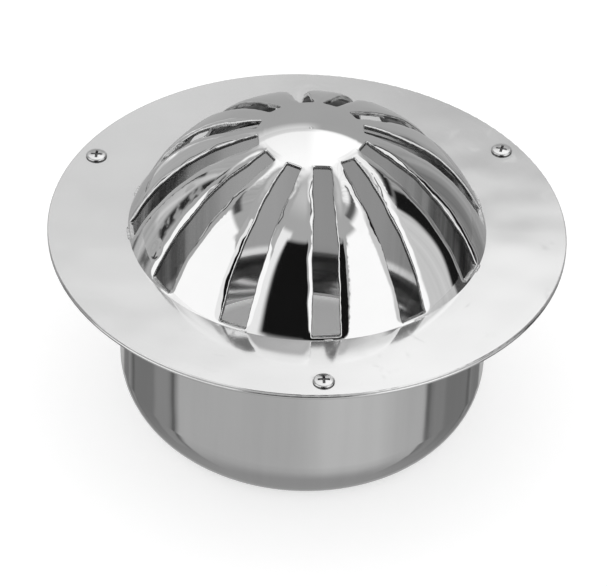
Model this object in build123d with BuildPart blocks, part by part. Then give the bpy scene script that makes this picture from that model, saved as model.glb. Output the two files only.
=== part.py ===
from build123d import *
import os
from math import acos, asin, cos, degrees, hypot, radians, sin, sqrt

# Flat roof drain of polished stainless steel sheet, in millimetres, +Z up.
# A slotted dome stands on a flat cover ring. Three screws hold the ring on the flange of a drawn sump,
# whose turned-in bottom is open. The origin is the centre of the circle on which the open bottom stands.

# Sump: the wall's outside, and the sheet that it is drawn from
sump_radius = 71.9
sump_height = 80.5
sump_sheet = 1.2
# Outside radius of the turned-in bottom, and how far it turns in before the outlet is cut
bottom_bend_radius = 26.0
outlet_inset = 11.9
# Outside radius of the bend between wall and flange, and the flange beyond the wall
mouth_bend_radius = 2.5
flange_width = 28.1

# Cover ring, as wide as the sump's flange
cover_sheet = 1.2
edge_round = 0.4

# Dome: a spherical cap of sheet, cut off flat at its foot
dome_radius = 69.0
dome_height = 47.0
dome_sheet = 1.5
apex_mark_radius = 0.8
apex_mark_depth = 0.3

# Slots: each one widens from the crown to the foot and passes a little to one side of the dome's axis.
# The back ones are cut less evenly: their turns in degrees, and their shares of the skew and crown width.
slot_turns = (0, 0, 0, 0, 0, 1.5, 5.2, 8, 3.5, 0, 0, 0)
slot_skew_shares = (1, 1, 1, 1, 0.53, 0.53, -0.4, 0, 0.87, 1, 1, 1)
slot_width_shares = (1, 1, 1, 0.85, 0.78, 0.85, 0.92, 0.8, 0.85, 1, 1, 1)
slot_crown_radius = 20.2
slot_crown_width = 6.4
slot_foot_width = 11.0
slot_skew = 3.0
slot_foot_angle = -82.7
slot_corner_round = 0.7
slot_edge_round = 0.5
foot_rim_height = 0.8

# Screws: M4 with low round heads, how many degrees each one's cross is turned, and the pressed collars
# under the flange that they are threaded into
screw_names = ("screw_front", "screw_right", "screw_left")
first_screw_angle = -84.8
screw_edge_distance = 7.5
screw_radius = 2.0
screw_length = 6.0
screw_tip_chamfer = 0.5
head_radius = 4.1
head_height = 1.3
recess_floor_length = 4.2
recess_floor_width = 0.7
recess_depth = 0.9
recess_taper = 12.0
recess_turns = (4, -13, -2)
cover_hole_clearance = 0.25
thread_clearance = 0.05
collar_wall = 1.2
collar_height = 1.9
collar_root_round = 0.6

# Shares of the sheet that a rounded edge may take, and of the head's radius and height along its outline
largest_round_share = 0.45
head_outline_shares = ((1.0, 0.0), (1.0, 0.3), (0.93, 0.6), (0.76, 0.8), (0.4, 0.95), (0.0, 1.0))

overrun = 5.0

flange_radius = sump_radius + flange_width
flange_top = sump_height + sump_sheet
cover_top = flange_top + cover_sheet
screw_circle_radius = flange_radius - screw_edge_distance
screw_angles = [first_screw_angle + 360 * i / len(screw_names) for i in range(len(screw_names))]

dome_sphere_radius = (dome_radius**2 + dome_height**2) / (2 * dome_height)
dome_centre_height = cover_top + dome_height - dome_sphere_radius
dome_inner_radius = sqrt((dome_sphere_radius - dome_sheet) ** 2 - (cover_top - dome_centre_height) ** 2)


def edge_rounding(sheet, wanted):
    """The wanted radius, or less on a sheet too thin for it."""
    return min(wanted, largest_round_share * sheet)


def arc_sweep(radius, rise):
    """Degrees from the vertical to the point of an arc that lies the given rise above its centre."""
    return degrees(acos(rise / radius))


# Sump: a revolved section from the flange's edge, round the mouth and down the wall to the outlet
bottom_centre_height = sqrt(bottom_bend_radius**2 - (bottom_bend_radius - outlet_inset) ** 2)
bottom_centre = (sump_radius - bottom_bend_radius, bottom_centre_height)
mouth_centre = (sump_radius + mouth_bend_radius, sump_height - mouth_bend_radius)
outside_turn = degrees(acos((bottom_bend_radius - outlet_inset) / bottom_bend_radius))
inside_turn = degrees(acos((bottom_bend_radius - outlet_inset) / (bottom_bend_radius - sump_sheet)))

with BuildPart() as sump_body:
    with BuildSketch(Plane.XZ) as sump_section:
        with BuildLine():
            mouth_outside = CenterArc(mouth_centre, mouth_bend_radius, 90, 90)
            mouth_inside = CenterArc(mouth_centre, mouth_bend_radius + sump_sheet, 90, 90)
            bottom_outside = CenterArc(bottom_centre, bottom_bend_radius, 0, -outside_turn)
            bottom_inside = CenterArc(bottom_centre, bottom_bend_radius - sump_sheet, 0, -inside_turn)
            Line(mouth_outside @ 1, bottom_outside @ 0)
            Line(bottom_outside @ 1, bottom_inside @ 1)
            Line(bottom_inside @ 0, mouth_inside @ 1)
            flange_edge = [(flange_radius, flange_top), (flange_radius, sump_height)]
            Polyline(mouth_inside @ 0, *flange_edge, mouth_outside @ 0)
        make_face()
        fillet(sump_section.vertices().group_by(Axis.X)[-1], radius=edge_rounding(sump_sheet, edge_round))
    revolve(axis=Axis.Z)
    with BuildSketch(Plane.XY.offset(sump_height)):
        with PolarLocations(screw_circle_radius, len(screw_names), start_angle=first_screw_angle):
            Circle(screw_radius + thread_clearance + collar_wall)
    extrude(amount=-collar_height)
    circles = sump_body.edges().filter_by(GeomType.CIRCLE)
    underside_circles = circles.filter_by_position(Axis.Z, sump_height, sump_height)
    fillet(underside_circles.group_by(SortBy.RADIUS)[0], radius=collar_root_round)
    with BuildSketch(Plane.XY.offset(flange_top)):
        with PolarLocations(screw_circle_radius, len(screw_names), start_angle=first_screw_angle):
            Circle(screw_radius + thread_clearance)
    extrude(amount=-(sump_sheet + collar_height + overrun), mode=Mode.SUBTRACT)
sump_body.part.label = "sump_body"
export_step(sump_body.part, "parts/sump_body.step")

# Cover ring: flat sheet that ends inside under the dome's foot, with a clearance hole for each screw
with BuildPart() as cover_flange:
    with BuildSketch(Plane.XY.offset(flange_top)):
        Circle(flange_radius)
        Circle(dome_inner_radius, mode=Mode.SUBTRACT)
        with PolarLocations(screw_circle_radius, len(screw_names), start_angle=first_screw_angle):
            Circle(screw_radius + cover_hole_clearance, mode=Mode.SUBTRACT)
    extrude(amount=cover_sheet)
    rim_edges = cover_flange.edges().filter_by(GeomType.CIRCLE).group_by(SortBy.RADIUS)[-1]
    fillet(rim_edges, radius=edge_rounding(cover_sheet, edge_round))
cover_flange.part.label = "cover_flange"
export_step(cover_flange.part, "parts/cover_flange.step")

# Dome: a revolved cap, then its slots. A slot's line runs beside the axis by the skew, so its foot lies
# at a slightly smaller angle than its crown. The uncut rim at the foot keeps the ribs joined.
slot_foot_radius = dome_radius + overrun
slot_line_angle = slot_foot_angle - degrees(asin(slot_skew / dome_radius))
slot_floor = cover_top + foot_rim_height
apex_ball_radius = (apex_mark_radius**2 + apex_mark_depth**2) / (2 * apex_mark_depth)

with BuildPart() as dome_grate:
    with BuildSketch(Plane.XZ):
        with BuildLine():
            centre = (0, dome_centre_height)
            rise = cover_top - dome_centre_height
            outer_arc = CenterArc(centre, dome_sphere_radius, 90, -arc_sweep(dome_sphere_radius, rise))
            inner_sphere_radius = dome_sphere_radius - dome_sheet
            inner_arc = CenterArc(centre, inner_sphere_radius, 90, -arc_sweep(inner_sphere_radius, rise))
            Line(outer_arc @ 1, inner_arc @ 1)
            Line(inner_arc @ 0, outer_arc @ 0)
        make_face()
    revolve(axis=Axis.Z)
    with BuildSketch(Plane.XY.offset(slot_floor)) as slot_plan:
        slot_rows = zip(slot_turns, slot_skew_shares, slot_width_shares)
        for i, (turn, skew_share, width_share) in enumerate(slot_rows):
            skew = skew_share * slot_skew
            crown_width = width_share * slot_crown_width
            widening = (slot_foot_width - crown_width) / (dome_radius - slot_crown_radius)
            end_width = slot_foot_width + widening * overrun
            with PolarLocations(0, 1, start_angle=slot_line_angle + 360 * i / len(slot_turns) + turn):
                Polygon(
                    (slot_crown_radius, skew - crown_width / 2),
                    (slot_foot_radius, skew - end_width / 2),
                    (slot_foot_radius, skew + end_width / 2),
                    (slot_crown_radius, skew + crown_width / 2),
                    align=None,
                )
        crown_corners = slot_plan.vertices().filter_by(
            lambda corner: hypot(corner.X, corner.Y) < (slot_crown_radius + dome_radius) / 2
        )
        fillet(crown_corners, radius=slot_corner_round)
    extrude(amount=dome_height, mode=Mode.SUBTRACT)
    straight_edges = dome_grate.edges().filter_by(GeomType.LINE)
    floor_corners = straight_edges.filter_by_position(Axis.Z, slot_floor, slot_floor)
    fillet(floor_corners, radius=slot_corner_round)
    outer_skin = dome_grate.faces().filter_by(GeomType.SPHERE).sort_by(SortBy.AREA)[-1]
    slot_edges = ShapeList([edge for wire in outer_skin.inner_wires() for edge in wire.edges()])
    fillet(slot_edges, radius=edge_rounding(dome_sheet, slot_edge_round))
    with Locations((0, 0, cover_top + dome_height + apex_ball_radius - apex_mark_depth)):
        Sphere(apex_ball_radius, mode=Mode.SUBTRACT)
dome_grate.part.label = "dome_grate"
export_step(dome_grate.part, "parts/dome_grate.step")


def make_screw(name, angle, recess_turn):
    """One screw, seated on the cover ring at the given angle about the drain's axis."""
    outward = (cos(radians(angle)), sin(radians(angle)))
    seat = (screw_circle_radius * outward[0], screw_circle_radius * outward[1], cover_top)
    section_plane = Plane(origin=seat, x_dir=(*outward, 0), z_dir=(outward[1], -outward[0], 0))
    arm = (cos(radians(recess_turn)), sin(radians(recess_turn)), 0)
    recess_height = cover_top + head_height - recess_depth
    recess_floor = Plane(origin=(*seat[:2], recess_height), x_dir=arm, z_dir=(0, 0, 1))
    head_outline = [(x * head_radius, y * head_height) for x, y in head_outline_shares]
    with BuildPart() as screw:
        with BuildSketch(section_plane):
            with BuildLine():
                Polyline((screw_radius, 0), *head_outline[:2])
                ThreePointArc(*head_outline[1:4])
                ThreePointArc(*head_outline[3:])
                Polyline(
                    (0, head_height),
                    (0, -screw_length),
                    (screw_radius - screw_tip_chamfer, -screw_length),
                    (screw_radius, screw_tip_chamfer - screw_length),
                    (screw_radius, 0),
                )
            make_face()
        revolve(axis=Axis(seat, (0, 0, 1)))
        for across in (0, 90):
            with BuildSketch(recess_floor):
                Rectangle(recess_floor_length, recess_floor_width, rotation=across)
            extrude(amount=head_height, taper=-recess_taper, mode=Mode.SUBTRACT)
    screw.part.label = name
    export_step(screw.part, f"parts/{name}.step")


for screw_name, screw_angle, recess_turn in zip(screw_names, screw_angles, recess_turns):
    make_screw(screw_name, screw_angle, recess_turn)
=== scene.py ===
"""Flat roof drain of polished stainless sheet: finishes, the worn dome, welds, the studio and the camera.

Everything is in metres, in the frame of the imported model. The drain stands on its outlet rim at z = 0.
"""
import random
from math import asin, atan2, cos, hypot, pi, radians, sin, sqrt

import bmesh
import bpy
import numpy as np
from mathutils import Matrix, Vector, noise


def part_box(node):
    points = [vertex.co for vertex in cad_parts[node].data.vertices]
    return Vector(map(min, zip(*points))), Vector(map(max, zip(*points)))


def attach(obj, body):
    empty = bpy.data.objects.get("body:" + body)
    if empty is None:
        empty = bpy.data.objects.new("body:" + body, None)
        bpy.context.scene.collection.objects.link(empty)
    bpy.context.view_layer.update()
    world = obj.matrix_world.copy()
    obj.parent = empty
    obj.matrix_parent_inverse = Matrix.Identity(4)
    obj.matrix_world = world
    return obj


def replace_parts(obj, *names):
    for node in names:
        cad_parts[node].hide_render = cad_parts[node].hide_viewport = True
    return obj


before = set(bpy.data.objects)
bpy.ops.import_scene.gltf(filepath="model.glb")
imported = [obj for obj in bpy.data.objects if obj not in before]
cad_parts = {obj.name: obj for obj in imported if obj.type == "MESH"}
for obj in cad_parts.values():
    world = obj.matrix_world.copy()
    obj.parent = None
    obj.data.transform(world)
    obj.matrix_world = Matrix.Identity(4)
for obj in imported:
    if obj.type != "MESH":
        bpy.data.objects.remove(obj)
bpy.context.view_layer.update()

millimetre = 0.001
cover_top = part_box("cover_flange")[1].z
outlet_radius = 60 * millimetre

# Dome: a spherical cap of sheet, with a faint ring that the wheel left round its crown
dome_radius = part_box("dome_grate")[1].x
dome_height = 47 * millimetre
dome_sheet = 1.5 * millimetre
dome_sphere_radius = (dome_radius**2 + dome_height**2) / (2 * dome_height)
dome_centre = (0.0, 0.0, cover_top + dome_height - dome_sphere_radius)
crown_ring_radius = 18 * millimetre
crown_ring_width = 1.2 * millimetre

# Size of the photograph in pixels, and how much of the light polished steel gives back
picture_width = 607
picture_height = 587
steel_grey = 0.80


def light_of_tone(tone):
    """Linear light of a display tone, where 255 is white, by the sRGB curve."""
    share = tone / 255
    return share / 12.92 if share <= 0.04045 else ((share + 0.055) / 1.055) ** 2.4


class Socket:
    """An output of a shader node, with arithmetic on numbers."""

    def __init__(self, finish, socket):
        self.finish = finish
        self.socket = socket

    def math(self, operation, *values):
        return self.finish.node("Math", {"operation": operation}, dict(enumerate((self, *values))))

    def reflected(self, operation, value):
        return self.finish.node("Math", {"operation": operation}, {0: value, 1: self})

    def __add__(self, value):
        return self.math("ADD", value)

    __radd__ = __add__

    def __sub__(self, value):
        return self.math("SUBTRACT", value)

    def __rsub__(self, value):
        return self.reflected("SUBTRACT", value)

    def __mul__(self, value):
        return self.math("MULTIPLY", value)

    __rmul__ = __mul__

    def __truediv__(self, value):
        return self.math("DIVIDE", value)

    def __pow__(self, value):
        return self.math("POWER", value)

    def __neg__(self):
        return self.math("MULTIPLY", -1)

    def __abs__(self):
        return self.math("ABSOLUTE")

    def rises(self, start, end):
        """From 0 to 1 as the number goes from start to end, with soft ends."""
        return self.finish.node(
            "MapRange",
            {"interpolation_type": "SMOOTHSTEP"},
            {"Value": self, "From Min": start, "From Max": end, "To Min": 0.0, "To Max": 1.0},
        )

    def falls(self, start, end):
        """From 1 to 0 as the number goes from start to end, with soft ends."""
        return 1 - self.rises(start, end)

    def within(self, low, high, soft):
        """1 between low and high and 0 outside, with edges as wide as soft."""
        return self.rises(low - soft / 2, low + soft / 2) * self.falls(high - soft / 2, high + soft / 2)

    def towards(self, value, mask):
        """This number where the mask is 0, and the other where it is 1."""
        return self + (value - self) * mask

    def ramp(self, low, high, stops):
        """A level that follows (place, level) stops, with the places in this number's own units."""
        spread = self.finish.node("MapRange", {}, {"Value": self, "From Min": low, "From Max": high})
        placed = [((place - low) / (high - low), level) for place, level in stops]
        return self.finish.node("ValToRGB", {"stops": placed}, {"Fac": spread})


class Finish:
    """The node tree of one finish, or of the studio's light."""

    def __init__(self, owner):
        owner.use_nodes = True
        self.tree = owner.node_tree
        self.tree.nodes.clear()

    def node(self, kind, settings=(), sockets=(), output=0):
        """Adds a node: its settings first, then the values or links of its sockets.

        Gives back one output, or one for each name in a tuple.
        """
        made = self.tree.nodes.new("ShaderNode" + kind)
        for name, value in dict(settings).items():
            if name == "stops":
                self.set_stops(made.color_ramp, value)
            else:
                setattr(made, name, value)
        for name, value in dict(sockets).items():
            if isinstance(value, Socket):
                self.tree.links.new(value.socket, made.inputs[name])
            else:
                made.inputs[name].default_value = value
        if isinstance(output, tuple):
            return [Socket(self, made.outputs[name]) for name in output]
        return Socket(self, made.outputs[output]) if made.outputs else None

    def set_stops(self, ramp, stops):
        while len(ramp.elements) < len(stops):
            ramp.elements.new(1.0)
        for element, (place, level) in zip(ramp.elements, stops):
            element.position = place
            element.color = (level, level, level, 1.0)

    def number(self, value):
        """A number that an expression can start from."""
        return self.node("Math", {"operation": "ADD"}, {0: value, 1: 0.0})

    def noise(self, place, scale, detail=2.0, roughness=0.5, distortion=0.0):
        """Soft noise, with a scale in features for each unit of the place."""
        sockets = {"Vector": place, "Scale": scale, "Detail": detail}
        return self.node("TexNoise", {}, {**sockets, "Roughness": roughness, "Distortion": distortion})

    def streaks(self, number, scale, detail):
        """Noise that changes along one number only."""
        sockets = {"W": number, "Scale": scale, "Detail": detail}
        return self.node("TexNoise", {"noise_dimensions": "1D"}, sockets)

    def vector(self, x, y, z):
        """A place of three numbers, for noise that is drawn out into streaks."""
        return self.node("CombineXYZ", {}, {0: x, 1: y, 2: z})

    def grey(self, level):
        """A neutral colour of this level."""
        return self.node("CombineColor", {}, {0: level, 1: level, 2: level})

    def bump(self, height):
        """A normal for a height in metres."""
        return self.node("Bump", {}, {"Strength": 1.0, "Distance": 1.0, "Height": height})


def steel(name, polish):
    """A stainless finish. polish takes the finish and the place on the object, and gives the sockets."""
    material = bpy.data.materials.new(name)
    finish = Finish(material)
    place = finish.node("TexCoord", output="Object")
    surface = finish.node("BsdfPrincipled", {}, {"Metallic": 1.0, **polish(finish, place)})
    finish.node("OutputMaterial", {}, {"Surface": surface})
    return material


def round_axis(finish, place):
    """Distance from the drain's axis, turn about it in radians, and height."""
    x, y, z = finish.node("SeparateXYZ", {}, {0: place}, output=(0, 1, 2))
    return (x * x + y * y) ** 0.5, y.math("ARCTAN2", x), z


def facing_along(finish, arm):
    """How far the surface looks along an arm: 1 along it, 0 across it and -1 against it."""
    outward = finish.node("VectorMath", {"operation": "NORMALIZE"}, {0: arm})
    normal = finish.node("NewGeometry", output="Normal")
    return finish.node("VectorMath", {"operation": "DOT_PRODUCT"}, {0: outward, 1: normal}, output="Value")


def dome_polish(finish, place):
    """Mirror outside, with cut edges left rough, and painted shade on the hidden inside: dark, with lighter
    streaky patches.
    """
    radius, turn, z = round_axis(finish, place)
    arm = finish.node("VectorMath", {"operation": "SUBTRACT"}, {0: place, 1: dome_centre})
    facing = facing_along(finish, arm)
    inside = facing.falls(-0.6, -0.2)
    cut = abs(facing).falls(0.5, 0.8)
    cloud = finish.noise(place, scale=60.0, detail=3.0)
    wave = finish.noise(place, scale=38.0, detail=1.0)
    burr = finish.noise(place, scale=900.0, detail=3.0, roughness=0.6)
    # Lighter patches that break up the painted shade on the dome's inside
    lighter_patch = finish.noise(place, scale=42.0, detail=1.5, distortion=0.8).rises(0.36, 0.68)
    streak = finish.noise(finish.vector(turn * 14, z * 12, 0.0), scale=1.0, detail=3.0).rises(0.35, 0.65)
    from_ring = radius - crown_ring_radius
    ring = from_ring.within(-crown_ring_width / 2, crown_ring_width / 2, crown_ring_width)
    wave_height = 0.2 * millimetre
    ring_height = 0.01 * millimetre
    burr_height = 0.06 * millimetre
    height = wave * wave_height + ring * ring_height + burr * cut * burr_height
    level = steel_grey * (0.97 + 0.06 * cloud)
    # Painted shade: the dome's inside is coloured dark, with lighter streaky patches
    level = level.towards(0.08 + 0.5 * lighter_patch * streak, inside)
    level = level.towards(0.3 + 0.55 * burr, cut)
    rough = 0.025 + 0.03 * cloud
    return {
        "Base Color": finish.grey(level),
        "Roughness": rough.towards(0.06, inside).towards(0.2, cut),
        "Normal": finish.bump(height),
    }


def cover_polish(finish, place):
    """Flat sheet, a little less of a mirror: soft clouds, faint arcs from the wheel, and a few smudges."""
    radius, turn = round_axis(finish, place)[:2]
    cloud = finish.noise(place, scale=30.0, detail=4.0, roughness=0.55, distortion=0.6)
    smudge = finish.noise(place, scale=55.0, detail=5.0, roughness=0.6, distortion=1.5).rises(0.58, 0.74)
    arcs = finish.noise(finish.vector(radius * 900, turn * 3, 0.0), scale=1.0, detail=3.0)
    wave = finish.noise(place, scale=16.0)
    wave_height = 0.35 * millimetre
    arc_height = 0.0015 * millimetre
    level = steel_grey * (0.93 + 0.09 * cloud) - 0.03 * smudge
    return {
        "Base Color": finish.grey(level),
        "Metallic": 0.8,
        "Roughness": 0.05 + 0.07 * cloud + 0.12 * smudge,
        "Normal": finish.bump(wave * wave_height + arcs * arc_height),
    }


def sump_polish(finish, place):
    """Drawn sheet, polished up and down. Its inside is painted darker for shade, most at the sides, where
    lighter stripes break the shade and the sheet is less metallic.
    """
    radius, turn, z = round_axis(finish, place)
    cloud = finish.noise(place, scale=22.0, detail=3.0)
    lines = finish.noise(finish.vector(turn * 16, z * 12, radius * 12), scale=1.0, detail=3.0)
    wave = finish.noise(place, scale=20.0)
    arm = finish.node("VectorMath", {"operation": "MULTIPLY"}, {0: place, 1: (1.0, 1.0, 0.0)})
    inside = facing_along(finish, arm).falls(-0.2, 0.0)
    beside = abs(turn - pi / 2).rises(0.35, 1.1)
    stripes_in_shade = finish.noise(finish.vector(turn * 18, z * 5, 3.0), scale=1.0, detail=3.0).rises(0.35, 0.62)
    wave_height = 0.3 * millimetre
    line_height = 0.01 * millimetre
    level = steel_grey * (0.9 + 0.1 * cloud + 0.08 * lines)
    # Painted shade: the inside is coloured darker, most at the sides, with lighter stripes there
    painted_shade_level = level * (0.72 - 0.44 * beside + 0.34 * stripes_in_shade * beside)
    return {
        "Base Color": finish.grey(level.towards(painted_shade_level, inside)),
        "Metallic": 1 - 0.4 * inside * beside,
        "Roughness": 0.05 + 0.06 * cloud + 0.06 * inside,
        "Normal": finish.bump(wave * wave_height + lines * line_height),
    }


def screw_polish(finish, place):
    """Bright heads, with painted shade on the cross's floor, in the gap under the head and below it."""
    z = finish.node("SeparateXYZ", {}, {0: place}, output=2)
    cloud = finish.noise(place, scale=700.0, detail=3.0)
    # Painted shade: darker colour low on the head, on the cross's floor and in the gap under it
    painted_seam_shade = (z - cover_top).falls(0.42 * millimetre, 0.62 * millimetre)
    cloud_height = 0.06 * millimetre
    return {
        "Base Color": finish.grey(steel_grey * (0.8 + 0.2 * cloud) * (1 - 0.85 * painted_seam_shade)),
        "Roughness": 0.12 + 0.2 * cloud,
        "Normal": finish.bump(cloud * cloud_height),
    }


def weld_polish(finish, place):
    """Beads left whitish and pitted."""
    pit = finish.noise(place, scale=1500.0, detail=3.0, roughness=0.6)
    pit_depth = 0.2 * millimetre
    return {
        "Base Color": finish.grey(0.15 + 0.76 * pit.rises(0.3, 0.5)),
        "Roughness": 0.3 + 0.2 * pit,
        "Normal": finish.bump(pit * pit_depth),
    }


def dress(node, material):
    """Gives one of the solids its finish."""
    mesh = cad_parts[node].data
    mesh.materials.clear()
    mesh.materials.append(material)


def place_piece(name, mesh, material):
    """Adds a made mesh as a piece of the drain."""
    mesh.materials.clear()
    mesh.materials.append(material)
    piece = bpy.data.objects.new(name, mesh)
    bpy.context.scene.collection.objects.link(piece)
    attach(piece, "root")
    return piece


# The dome's slots, as the solid has them: each one widens from the crown to the foot and runs beside the
# axis. The back ones are cut less evenly: their turns in degrees, and their shares of skew and crown width.
slot_turns = (0, 0, 0, 0, 0, 1.5, 5.2, 8, 3.5, 0, 0, 0)
slot_skew_shares = (1, 1, 1, 1, 0.53, 0.53, -0.4, 0, 0.87, 1, 1, 1)
slot_width_shares = (1, 1, 1, 0.85, 0.78, 0.85, 0.92, 0.8, 0.85, 1, 1, 1)
slot_rows = list(zip(slot_turns, slot_skew_shares, slot_width_shares))
slot_crown_radius = 20.2 * millimetre
slot_crown_width = 6.4 * millimetre
slot_foot_width = 11.0 * millimetre
slot_skew = 3.0 * millimetre
slot_foot_angle = -82.7

# What cutting and polishing did to the ribs: they roll down towards the slots, less so near the crown and
# not at the foot, and the roll and the slots' edges waver in waves of some length and height in millimetres
roll_width = 3.4 * millimetre
roll_drop = 0.55 * millimetre
roll_waver_share = 0.6
waver_width = 1.5 * roll_width
crown_fade = 2 * roll_width
foot_fade = 3.5 * millimetre
edge_waves = ((24, 0.2), (11, 0.12), (5.2, 0.05), (2.6, 0.02))
# Share of a slot's half width over which the waver of one edge passes into that of the other
edge_blend = 0.3
# The dent low on the left
dent_place = np.array((-56.7, -30.7, 92.4)) * millimetre
dent_radius = 4.5 * millimetre
dent_depth = 0.5 * millimetre


def unit(rows):
    """Vectors in rows, each scaled to a length of 1."""
    return rows / np.linalg.norm(rows, axis=1)[:, None]


class WornRibs:
    """The small change of form from the even dome to the one that the cutting and polishing left."""

    def __init__(self, seed):
        phase_counts = (len(slot_rows), 3, len(edge_waves))
        self.phases = np.random.default_rng(seed).uniform(0, 2 * pi, phase_counts)
        self.centre = np.array(dome_centre)

    def waver(self, run, phases):
        """How far an edge is off its line, for distances along the slot."""
        return sum(
            height * millimetre * np.sin(2 * pi * run / (length * millimetre) + phase)
            for (length, height), phase in zip(edge_waves, phases)
        )

    def formed(self, places):
        """Where points of the even dome lie after it."""
        drop = np.zeros(len(places))
        shift = np.zeros_like(places)
        first_angle = radians(slot_foot_angle) - asin(slot_skew / dome_radius)
        for i, (turn, skew_share, width_share) in enumerate(slot_rows):
            angle = first_angle + radians(360 * i / len(slot_rows) + turn)
            along = np.array((cos(angle), sin(angle), 0))
            across = np.array((-sin(angle), cos(angle), 0))
            run = places @ along
            side = places @ across - skew_share * slot_skew
            crown_width = width_share * slot_crown_width
            widening = (slot_foot_width - crown_width) / (dome_radius - slot_crown_radius)
            half = (crown_width + widening * (np.maximum(run, slot_crown_radius) - slot_crown_radius)) / 2
            gap = np.hypot(np.maximum(slot_crown_radius - run, 0), np.maximum(np.abs(side) - half, 0))
            right = (1 + np.tanh(side / (edge_blend * half))) / 2
            left_waver, right_waver, roll_waver = (self.waver(run, phases) for phases in self.phases[i])
            depth = roll_drop + roll_waver_share * roll_waver
            fade = np.clip((run - slot_crown_radius) / crown_fade, 0, 1)
            drop += fade * depth * np.clip(1 - gap / roll_width, 0, 1) ** 2
            near = np.clip(1 - gap / waver_width, 0, 1) ** 2
            shift += np.outer(near * (right * right_waver + (1 - right) * left_waver), across)
        apart = np.linalg.norm(places - dent_place, axis=1) / dent_radius
        drop += dent_depth * np.clip(1 - apart**2, 0, 1) ** 2
        rise = np.clip((places[:, 2] - cover_top) / foot_fade, 0, 1)
        held = rise**2 * (3 - 2 * rise)
        arm = places - self.centre
        length = np.linalg.norm(arm, axis=1)
        return self.centre + unit(arm + shift * held[:, None]) * (length - drop * held)[:, None]

    def turned(self, places, normals, owners):
        """The normals after it, by the slopes of the change. owners gives each normal's point."""
        step = 0.01 * millimetre
        changes = []
        for shift in np.eye(3) * step:
            changes.append((self.formed(places + shift) - self.formed(places - shift)) / (2 * step))
        back = np.linalg.inv(np.stack(changes, axis=2))
        return unit(np.einsum("nji,nj->ni", back[owners], normals))


# A point is on the outer skin where the layer named skin is 1, on the inner skin where it is -1, and a point
# that halves an edge gets the middle of its ends
on_one_skin = 0.99
both_on_one_skin = 1.99
skin_tolerance = 0.02 * millimetre


def finer_dome(longest, passes):
    """A copy of the even dome's mesh with its skins' long edges halved in each pass, and its normals kept."""
    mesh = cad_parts["dome_grate"].data.copy()
    normals = np.empty(len(mesh.loops) * 3)
    mesh.corner_normals.foreach_get("vector", normals)
    mesh.attributes.new("even_normal", "FLOAT_VECTOR", "CORNER").data.foreach_set("vector", normals)
    build = bmesh.new()
    build.from_mesh(mesh)
    skin = build.verts.layers.float.new("skin")
    centre = Vector(dome_centre)
    radii = {1: dome_sphere_radius, -1: dome_sphere_radius - dome_sheet}
    for vert in build.verts:
        for sign, radius in radii.items():
            if abs((vert.co - centre).length - radius) < skin_tolerance:
                vert[skin] = sign
    for _ in range(passes):
        long_edges = [
            edge
            for edge in build.edges
            if edge.calc_length() > longest and abs(sum(end[skin] for end in edge.verts)) > both_on_one_skin
        ]
        bmesh.ops.subdivide_edges(build, edges=long_edges, cuts=1)
        bmesh.ops.triangulate(build, faces=[face for face in build.faces if len(face.verts) > 3])
        for vert in build.verts:
            if abs(vert[skin]) > on_one_skin:
                arm = vert.co - centre
                vert.co = centre + arm * (radii[round(vert[skin])] / arm.length)
    build.to_mesh(mesh)
    build.free()
    return mesh


def make_dome(material):
    """The dome as it is after cutting and polishing, in place of the even solid."""
    mesh = finer_dome(longest=1.7 * millimetre, passes=2)
    places = np.empty(len(mesh.vertices) * 3)
    mesh.vertices.foreach_get("co", places)
    places = places.reshape(-1, 3)
    owners = np.empty(len(mesh.loops), dtype=np.int32)
    mesh.loops.foreach_get("vertex_index", owners)
    normals = np.empty(len(mesh.loops) * 3)
    mesh.attributes["even_normal"].data.foreach_get("vector", normals)
    normals = normals.reshape(-1, 3)
    skin = np.empty(len(mesh.vertices))
    mesh.attributes["skin"].data.foreach_get("value", skin)
    outward = (unit(places - np.array(dome_centre)) * np.sign(skin)[:, None])[owners]
    nearly_along = 0.9
    smooth = (np.abs(skin[owners]) > on_one_skin) & (np.sum(outward * normals, axis=1) > nearly_along)
    normals[smooth] = outward[smooth]
    worn = WornRibs(seed=7)
    turned = worn.turned(places, normals, owners)
    mesh.vertices.foreach_set("co", worn.formed(places).ravel())
    for attribute in ("even_normal", "skin"):
        mesh.attributes.remove(mesh.attributes[attribute])
    mesh.polygons.foreach_set("use_smooth", np.ones(len(mesh.polygons), dtype=bool))
    mesh.normals_split_custom_set(turned.tolist())
    mesh.update()
    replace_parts(place_piece("slotted_dome", mesh, material), "dome_grate")


# Welds along the dome's foot: the degrees about the axis from +X at which each bead starts and ends, and its
# radius in millimetres
weld_beads = {
    "weld_right": (12.5, 28.5, 0.5),
    "weld_left": (-175.5, -169.0, 0.7),
    "weld_left_back": (162.5, 168.0, 0.5),
    "weld_right_front": (-20.5, -16.5, 0.55),
    "weld_front_right": (-53.0, -50.0, 0.45),
    "weld_front": (-83.5, -80.5, 0.4),
    "weld_front_left": (-110.0, -107.5, 0.4),
    "weld_back": (88.0, 94.0, 0.5),
}
# Sides round a bead, and steps along it
bead_sides = 12
fewest_bead_steps = 10
bead_steps_per_degree = 5
# In shares of a bead's radius: how far its line lies outside the dome's foot and above the cover ring, its
# radius at the tips, and its radius without lumps. A higher bluntness makes the ends less pointed.
bead_out_share = 0.1
bead_up_share = 0.15
bead_tip_share = 0.05
bead_plain_share = 0.75
bead_bluntness = 6
# Lumps: their size as a share of the radius, how many for each metre of bead, and how they differ round it
lump_share = 0.5
lumps_per_metre = 900
lump_turn = 0.6


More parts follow.
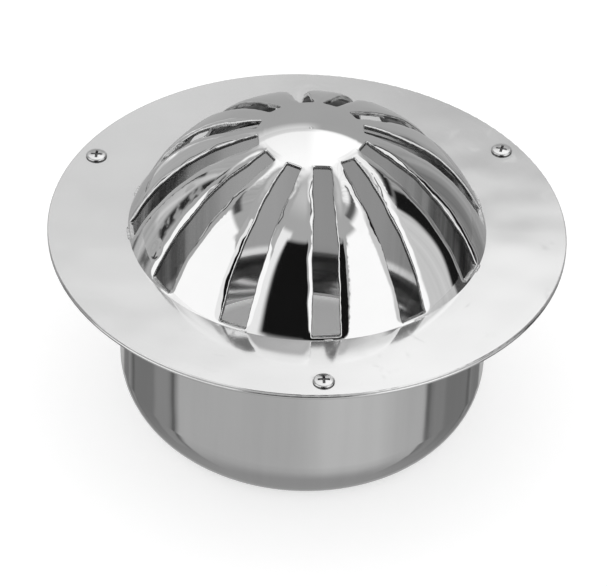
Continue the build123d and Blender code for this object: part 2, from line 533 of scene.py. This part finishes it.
def make_weld(name, start, end, bead_radius, material):
    """A lumpy bead that lies in the corner between the dome's foot and the cover ring."""
    thick = bead_radius * millimetre
    steps = max(fewest_bead_steps, int(abs(end - start) * bead_steps_per_degree))
    lumps = random.Random(name)
    shift = Vector([lumps.uniform(0, 50) for _ in range(3)])
    mesh = bpy.data.meshes.new(name)
    build = bmesh.new()
    rings = []
    for i in range(steps + 1):
        share = i / steps
        angle = radians(start + (end - start) * share)
        out = Vector((cos(angle), sin(angle), 0))
        height = Vector((0, 0, cover_top + bead_up_share * thick))
        centre = out * (dome_radius + bead_out_share * thick) + height
        taper = sqrt(max(0.0, 1 - abs(2 * share - 1) ** bead_bluntness))
        ring = []
        for j in range(bead_sides):
            round_angle = 2 * pi * j / bead_sides
            spoke = out * cos(round_angle) + Vector((0, 0, sin(round_angle)))
            lump = lump_share * noise.noise(centre * lumps_per_metre + spoke * lump_turn + shift)
            reach = thick * (bead_plain_share + lump) * max(taper, bead_tip_share)
            ring.append(build.verts.new(centre + spoke * reach))
        rings.append(ring)
    for first, second in zip(rings, rings[1:]):
        for j in range(bead_sides):
            k = (j + 1) % bead_sides
            build.faces.new((first[j], first[k], second[k], second[j]))
    build.faces.new(rings[0][::-1])
    build.faces.new(rings[-1])
    bmesh.ops.recalc_face_normals(build, faces=build.faces)
    build.to_mesh(mesh)
    build.free()
    for face in mesh.polygons:
        face.use_smooth = True
    place_piece(name, mesh, material)


dome_steel = steel("mirror dome", dome_polish)
dress("dome_grate", dome_steel)
make_dome(dome_steel)
dress("cover_flange", steel("clouded cover", cover_polish))
dress("sump_body", steel("drawn sump", sump_polish))
screw_steel = steel("bright screws", screw_polish)
for screw in ("screw_front", "screw_right", "screw_left"):
    dress(screw, screw_steel)
weld_steel = steel("weld beads", weld_polish)
for bead, (start, end, bead_radius) in weld_beads.items():
    make_weld(bead, start, end, bead_radius, weld_steel)


# What the steel mirrors: a studio tent of one tone, with panels. Each panel has its tone as the steel shows
# it, the directions between which it stands in degrees from the front to the right, its lowest and highest
# degree above the horizon, the softness of its edges, and its lean to the right for each degree of height.
tent_tone = 163
studio_panels = (
    (160, -180, 180, -30, 60, 10, 0),
    (248, -92, -43, -40, 48, 3, 0),
    (170, -70, -44, 44, 60, 4, 0),
    (70, -112, -86, 49, 53.5, 3, 0),
    (230, -46, -22, -40, 66, 4, 0),
    (250, 22, 72, -40, 54, 4, 0.3),
    (225, 56, 80, 40, 62, 8, 0.6),
    (195, 70, 104, -40, 50, 12, 0),
    (250, 44, 80, 50, 58.5, 4, 0),
    (150, 108, 154, -40, 50, 6, 0),
    (115, 126, 137, -40, 44, 8, 0.1),
    (240, 112, 150, 46, 52, 4, 0),
    (60, 120, 124, -40, 30, 3, 0.2),
    (165, -150, -103, -40, 50, 8, 0),
    (195, -122, -116, 0, 44, 5, -0.1),
    (40, -112, -105, 2, 46, 4, -0.3),
    (50, -129, -126, -40, 28, 2.5, 0),
    (250, -154, -150.5, -30, 14, 2, 0),
    (18, -25, 23, 3, 61, 4, 0),
    (22, 98, 112, -40, 42, 3, 0.15),
    (30, 112, 142, 42.5, 47, 3, 0),
)
# The same towards the floor, for what the wall of the sump mirrors
floor_panels = (
    (178, 8, 60, -90, -18, 30, 0),
    (108, 86, 153, -90, -18, 3, 0),
    (84, 87, 90, -56, -18, 2, 0),
    (120, 92, 104, -56, -18, 5, 0),
    (84, 130, 134, -56, -18, 3, 0),
    (128, 135, 141, -56, -18, 3, 0),
    (110, -153, -84, -90, -18, 6, 0),
    (80, -89, -86, -56, -18, 2, 0),
    (128, -106, -90, -56, -18, 5, 0),
    (84, -135, -131, -56, -18, 3, 0),
    (130, -141, -136, -56, -18, 3, 0),
)
# What stands over and behind the drain, for the crown
crown_panels = (
    (238, 88, 152, 52, 76, 16, 0),
    (188, -190, 190, 80, 110, 16, 0),
    (248, 62, 108, 54, 62.5, 4, 0),
    (85, 66, 122, 64, 68, 3, 0),
)
# The ceiling at the back, which the cover ring and the crown mirror: degrees above the horizon, and the tone
# there, for its left and right halves
ceiling_left = ((0, 158), (30, 160), (35.8, 212), (36.6, 202), (39.2, 210), (40.4, 240), (60, 250), (90, 255))
ceiling_right = ((0, 158), (30, 158), (36.7, 160), (37.3, 194), (38.3, 248), (41, 264), (60, 260), (90, 255))
# The ceiling begins at the back and overhead, in degrees, and where a direction of length 1 points so far
# back. Its halves meet where the direction points neither left nor right.
back_edge = (144, 156)
overhead_edge = (48, 60)
ceiling_foot = (-10, 2)
ceiling_front = (0.14, 0.36)
ceiling_seam = (-0.05, 0.08)
# The degrees over which the floor begins, and over which it passes into the tone straight below
floor_edge = (-26, -14)
underfoot_edge = (-74, -40)
underfoot_tone = 136
# Panels under these sizes are thin and broken up, down to a share of their strength
thin_panel_width = 10
thin_panel_height = 4
thin_panel_share = 0.25
# The folds of the tent on both sides: the degrees from the front between which they lie, the softness of
# their edges, and their strength
folded_sides = (90, 150, 30)
fold_strength = 0.45
# What all but polished steel gets for light
even_light = 0.9


def light_room():
    """The world: white to the camera, a studio tent to polished steel, and soft even light to all else."""
    world = bpy.data.worlds.new("studio")
    bpy.context.scene.world = world
    room = Finish(world)
    direction = room.node("TexCoord", output="Generated")
    x, y, z = room.node("SeparateXYZ", {}, {0: direction}, output=(0, 1, 2))
    side = x.math("ARCTAN2", -y) * (180 / pi)
    height = z.math("ARCSINE") * (180 / pi)
    breaks = room.noise(direction, scale=9.0, detail=3.0).rises(0.38, 0.52)
    broken = thin_panel_share + (1 - thin_panel_share) * breaks

    def add_panel(light, tone, side_low, side_high, low, high, soft, lean):
        leaned = side - height * lean if lean else side
        mask = leaned.within(side_low, side_high, soft) * height.within(low, high, soft)
        thin = side_high - side_low < thin_panel_width or high - low < thin_panel_height
        return light.towards(light_of_tone(tone), mask * broken if thin else mask)

    light = room.number(light_of_tone(tent_tone))
    for panel in studio_panels:
        light = add_panel(light, *panel)
    left, right = (
        height.ramp(0, 90, [(place, light_of_tone(tone)) for place, tone in stops])
        for stops in (ceiling_left, ceiling_right)
    )
    ceiling = left.towards(right, x.rises(*ceiling_seam))
    behind = abs(side).rises(*back_edge).math("MAXIMUM", height.rises(*overhead_edge))
    light = light.towards(ceiling, y.rises(*ceiling_front) * behind * height.rises(*ceiling_foot))
    for panel in crown_panels:
        light = add_panel(light, *panel)
    folds = room.streaks(side, scale=0.3, detail=1.5) - 0.5
    light = light * (1 + folds * abs(side).within(*folded_sides) * fold_strength)

    floor = room.number(light_of_tone(tent_tone))
    for panel in floor_panels:
        floor = add_panel(floor, *panel)
    floor = floor.towards(light_of_tone(underfoot_tone), height.falls(*underfoot_edge))
    light = light.towards(floor, height.falls(*floor_edge)) / steel_grey

    camera_ray, glossy_ray = room.node("LightPath", output=("Is Camera Ray", "Is Glossy Ray"))
    seen = room.number(even_light).towards(light, glossy_ray).towards(1.0, camera_ray)
    shade = room.node("Background", {}, {"Color": (1.0, 1.0, 1.0, 1.0), "Strength": seen})
    room.node("OutputWorld", {}, {"Surface": shade})


def lay_floor():
    """A pale floor that keeps the drain's soft shadow, and that a camera below it sees through.

    It glows to the camera, less so inside the outlet, where that is a painted shadow.
    """
    reach = 3.0
    open_glow = 0.44
    painted_shadow_glow = 0.24
    corners = [(-reach, -reach, 0), (reach, -reach, 0), (reach, reach, 0), (-reach, reach, 0)]
    mesh = bpy.data.meshes.new("floor")
    mesh.from_pydata(corners, [], [(0, 1, 2, 3)])
    floor = bpy.data.objects.new("floor", mesh)
    bpy.context.scene.collection.objects.link(floor)
    material = bpy.data.materials.new("pale floor")
    finish = Finish(material)
    camera_ray = finish.node("LightPath", output="Is Camera Ray")
    underneath = finish.node("NewGeometry", output="Backfacing")
    radius = round_axis(finish, finish.node("TexCoord", output="Object"))[0]
    # Painted shadow: inside the outlet the floor glows less to the camera
    clear_of_painted_shadow = radius.rises(outlet_radius - 5 * millimetre, outlet_radius + 2 * millimetre)
    strength = camera_ray * (painted_shadow_glow + (open_glow - painted_shadow_glow) * clear_of_painted_shadow)
    matt = finish.node("BsdfDiffuse", {}, {"Color": (0.8, 0.8, 0.8, 1.0)})
    glow = finish.node("Emission", {}, {"Color": (1.0, 1.0, 1.0, 1.0), "Strength": strength})
    pale = finish.node("AddShader", {}, {0: matt, 1: glow})
    clear = finish.node("BsdfTransparent")
    surface = finish.node("MixShader", {}, {0: underneath, 1: pale, 2: clear})
    finish.node("OutputMaterial", {}, {"Surface": surface})
    mesh.materials.append(material)
    floor.visible_glossy = False


def place_camera():
    """The photograph's view, worked out from the outlines of the cover ring, the dome and the sump.

    The angles are in radians, the distance in metres from the centre of the cover ring's top, and the focal
    length and the pixel that this centre falls on in pixels. The sensor's width is in millimetres.
    """
    elevation = 0.663972
    roll = 0.041907
    distance = 1.45386
    focal_length = 3773.52
    centre_across = 307.364
    centre_down = 225.842
    sensor_width = 36.0
    across = centre_across - picture_width / 2
    down = centre_down - picture_height / 2
    turn = (
        Matrix.Rotation(pi / 2 - elevation, 4, "X")
        @ Matrix.Rotation(roll, 4, "Z")
        @ Matrix.Rotation(atan2(down, hypot(focal_length, across)), 4, "X")
        @ Matrix.Rotation(atan2(across, focal_length), 4, "Y")
    )
    stand = Vector((0, -distance * cos(elevation), cover_top + distance * sin(elevation)))
    data = bpy.data.cameras.new("camera")
    data.sensor_width = sensor_width
    data.lens = focal_length * sensor_width / picture_width
    data.clip_start = 0.05
    data.clip_end = 50.0
    camera = bpy.data.objects.new("camera", data)
    bpy.context.scene.collection.objects.link(camera)
    camera.matrix_world = Matrix.Translation(stand) @ turn
    bpy.context.scene.camera = camera


light_room()
lay_floor()
place_camera()
bpy.context.scene.view_settings.view_transform = "Standard"
